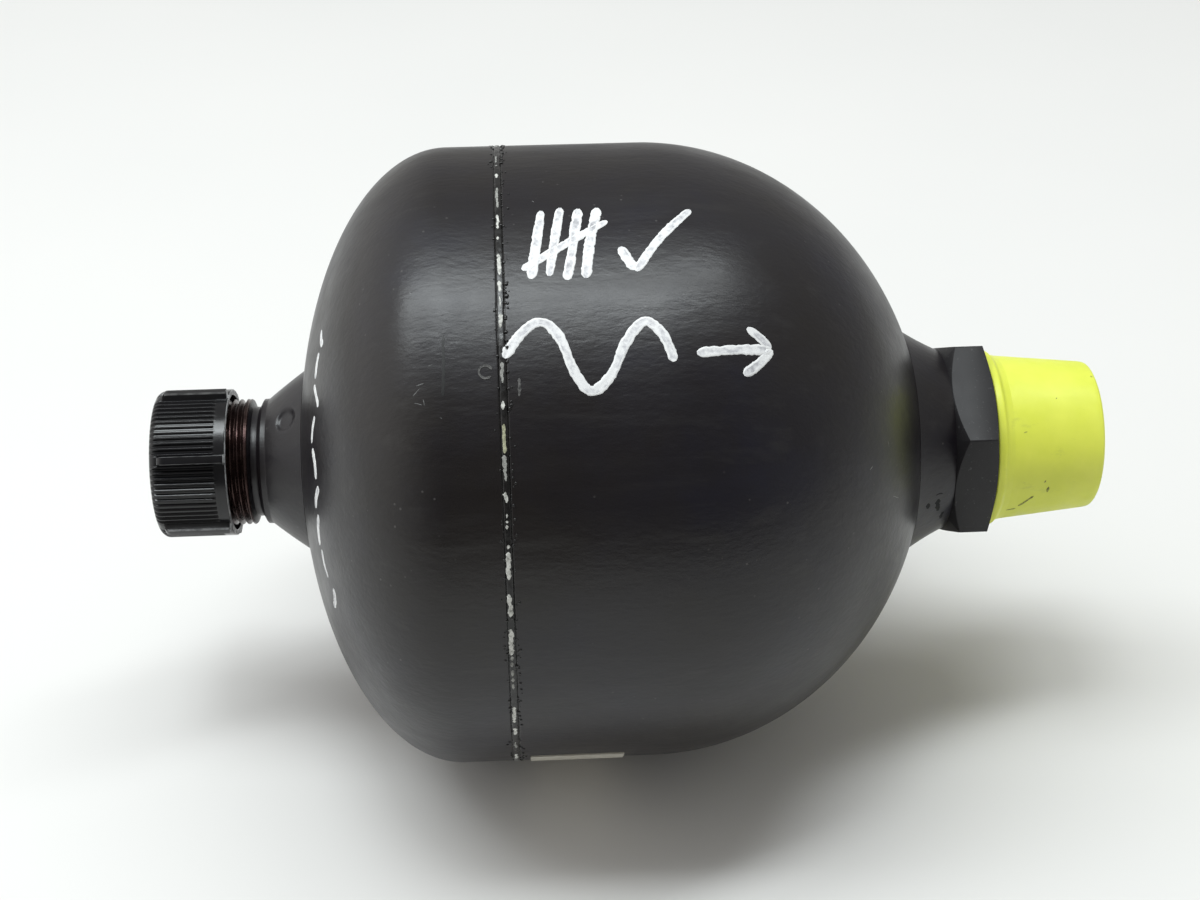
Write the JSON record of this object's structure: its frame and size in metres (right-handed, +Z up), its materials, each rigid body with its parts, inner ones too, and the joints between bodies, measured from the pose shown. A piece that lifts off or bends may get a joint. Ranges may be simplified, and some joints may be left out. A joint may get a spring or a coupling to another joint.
{
  "type": "diaphragm accumulator",
  "caption": "Welded diaphragm accumulator: round steel vessel with a hexagonal threaded fluid port, a gas valve neck and push-on and screw-on protective caps.",
  "frame": {"origin": "on the vessel's axis, in the sealing face of the fluid port's hexagon", "axes": "+X along the vessel's axis out of the fluid port, +Z up as the vessel lies on a table, +Y away from the side that faces the camera"},
  "size_m": [0.2077, 0.1368, 0.1368],
  "materials": {
    "vessel_paint": "satin black primer on forged steel",
    "weld": "painted weld bead",
    "inner_steel": "bare machined steel",
    "diaphragm_rubber": "moulded nitrile rubber",
    "button_steel": "turned steel",
    "screw_steel": "blackened screw",
    "seal_rubber": "moulded seal rubber",
    "black_plastic": "moulded black polyethylene",
    "yellow_plastic": "soft moulded yellow polyethylene"
  },
  "bodies": {
    "vessel": {"gas_shell": "vessel_paint", "fluid_shell": "vessel_paint", "seam_weld": "weld", "backing_ring": "inner_steel", "clamp_ring": "inner_steel", "diaphragm": "diaphragm_rubber", "port_boss": "vessel_paint", "port_boss_weld": "inner_steel", "neck_boss": "vessel_paint", "neck_boss_weld": "inner_steel", "charging_screw": "screw_steel", "charging_screw_ring": "seal_rubber"},
    "closing_button": {"closing_button": "button_steel"},
    "cap_gasket": {"cap_gasket": "seal_rubber"},
    "valve_cap": {"valve_cap": "black_plastic"},
    "port_cap": {"port_cap": "yellow_plastic"}
  },
  "joints": [
    {"name": "button_lift", "type": "slide", "parent": "vessel", "child": "closing_button", "axis": [-1, 0, 0], "range_m": [0, 0.09], "deforming": ["diaphragm"]},
    {"name": "valve_cap_lift", "type": "slide", "parent": "vessel", "child": "cap_gasket", "axis": [-1, 0, 0], "range_m": [0, 0.0151]},
    {"name": "valve_cap_turn", "type": "hinge", "parent": "cap_gasket", "child": "valve_cap", "pos_m": [-0.17, 0, 0], "axis": [-1, 0, 0], "range_deg": [0, 3600]},
    {"name": "port_cap_pull", "type": "slide", "parent": "vessel", "child": "port_cap", "axis": [1, 0, 0], "range_m": [0, 0.05]}
  ],
  "couplings": [
    {"joint": "valve_cap_lift", "follows": "valve_cap_turn", "m_per_rad": 0.00023873}
  ]
}
